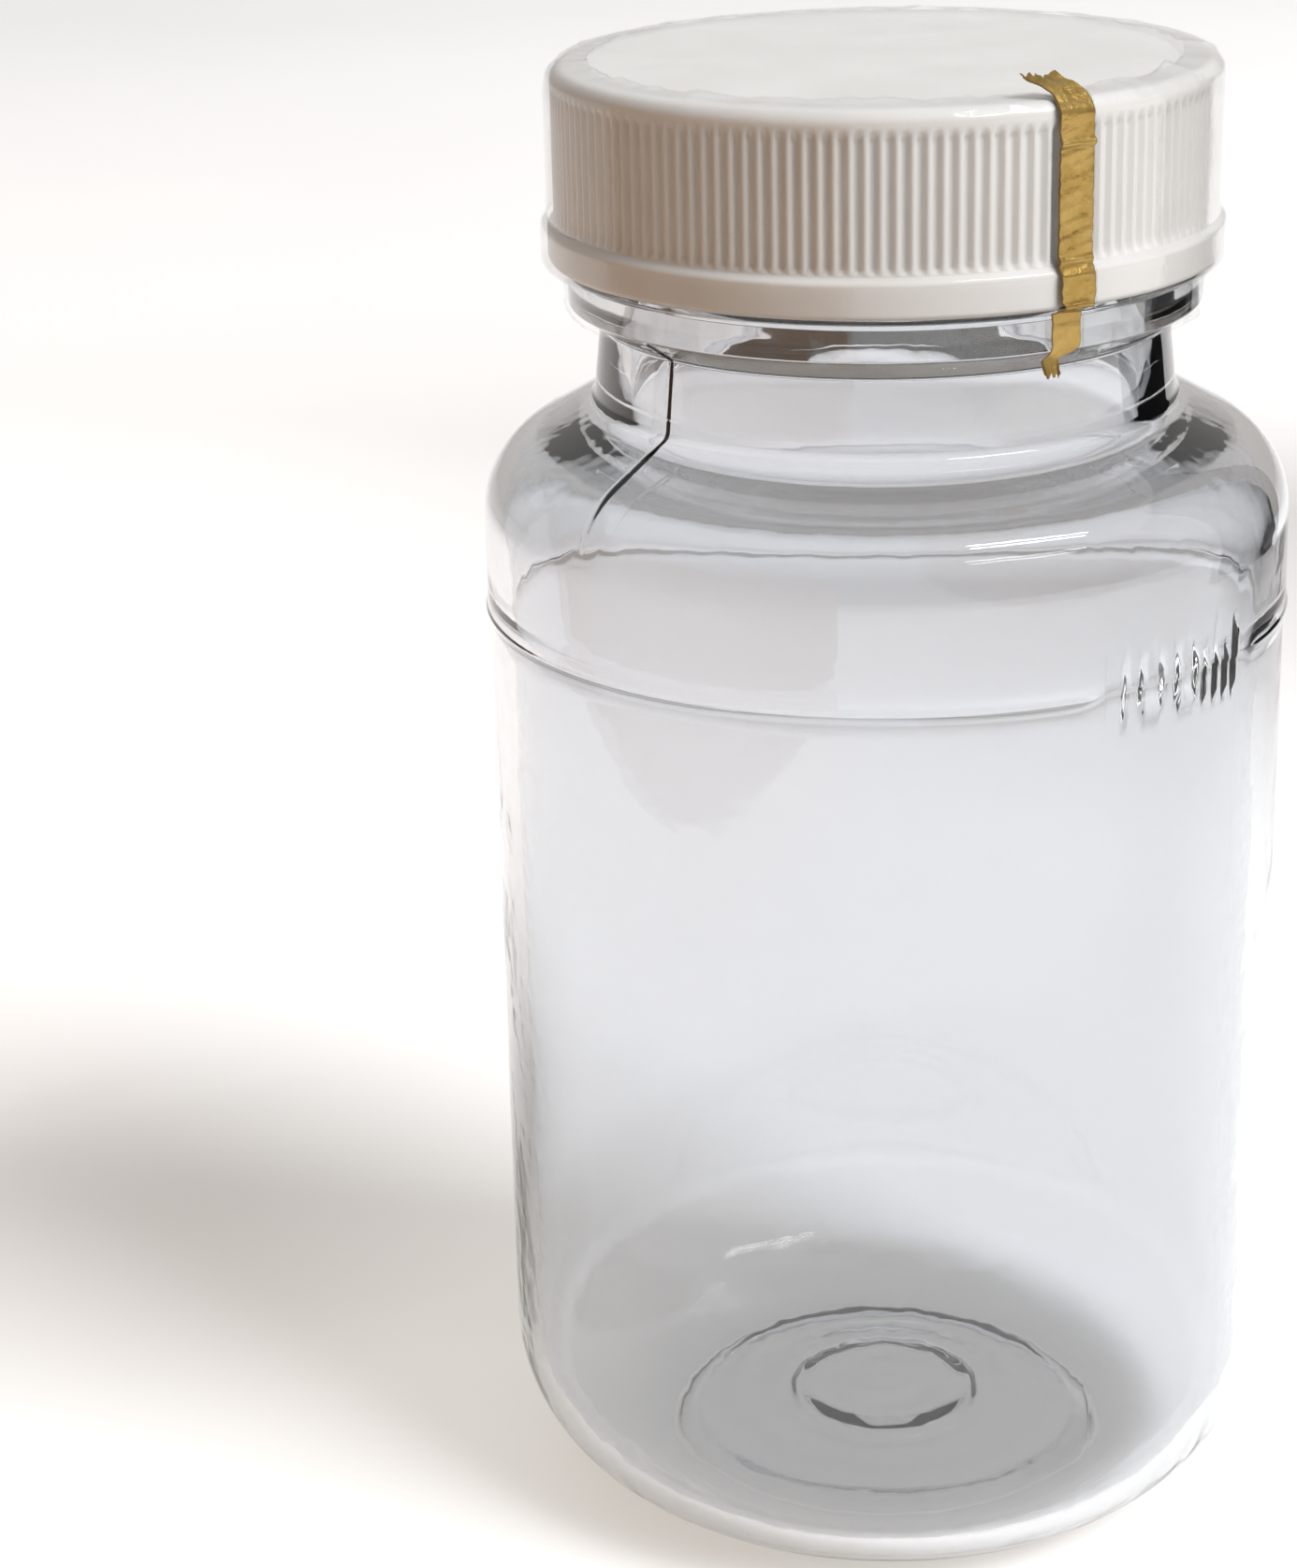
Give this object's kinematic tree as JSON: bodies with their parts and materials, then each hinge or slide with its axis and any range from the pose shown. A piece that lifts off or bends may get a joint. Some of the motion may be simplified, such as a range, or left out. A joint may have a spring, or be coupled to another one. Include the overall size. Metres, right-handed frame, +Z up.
{
  "type": "sample vial",
  "caption": "Clear screw-neck plastic sample bottle with a ribbed white screw cap, foam liner, clear shrink seal band and gold tear strip; a raised fill ring marks its volume.",
  "frame": {"origin": "centre of the base, on the surface the bottle stands on, below the bottle's axis", "axes": "+Z up along the bottle's axis, -Y towards the raised fill mark, and the tear strip is 13 degrees from -Y towards -X"},
  "size_m": [0.0504, 0.0504, 0.094],
  "materials": {
    "clear_plastic": "clear rigid plastic, glossy, with faint flow lines",
    "cap_white": "white moulded polypropylene, satin",
    "liner_foam": "white closed-cell foam, matt",
    "shrink_film": "clear shrunk film, glossy, fine wrinkles",
    "tear_tape": "gold metallised tape, creased, torn ends"
  },
  "bodies": {
    "bottle": {"bottle": "clear_plastic"},
    "liner": {"cap_liner": "liner_foam"},
    "cap": {"cap_shell": "cap_white"},
    "band_left": {"seal_band_left": "shrink_film"},
    "band_right": {"seal_band_right": "shrink_film"},
    "strip": {"tear_strip": "tear_tape"}
  },
  "joints": [
    {"name": "liner_lift", "type": "slide", "parent": "bottle", "child": "liner", "axis": [0, 0, 1], "range_m": [0, 0.0149]},
    {"name": "cap_turn", "type": "hinge", "parent": "liner", "child": "cap", "pos_m": [0, 0, 0.088], "axis": [0, 0, 1], "range_deg": [0, 1260]},
    {"name": "band_left_peel", "type": "hinge", "parent": "cap", "child": "band_left", "pos_m": [0.00466, 0.0202, 0.086], "axis": [0, 0, -1], "range_deg": [0, 80]},
    {"name": "band_right_peel", "type": "hinge", "parent": "cap", "child": "band_right", "pos_m": [0.00466, 0.0202, 0.086], "axis": [0, 0, 1], "range_deg": [0, 80]},
    {"name": "strip_peel", "type": "hinge", "parent": "cap", "child": "strip", "pos_m": [-0.00441, -0.01912, 0.07829], "axis": [0.9744, -0.225, 0], "range_deg": [0, 110]}
  ],
  "couplings": [
    {"joint": "liner_lift", "follows": "cap_turn", "m_per_rad": 0.00067322}
  ]
}
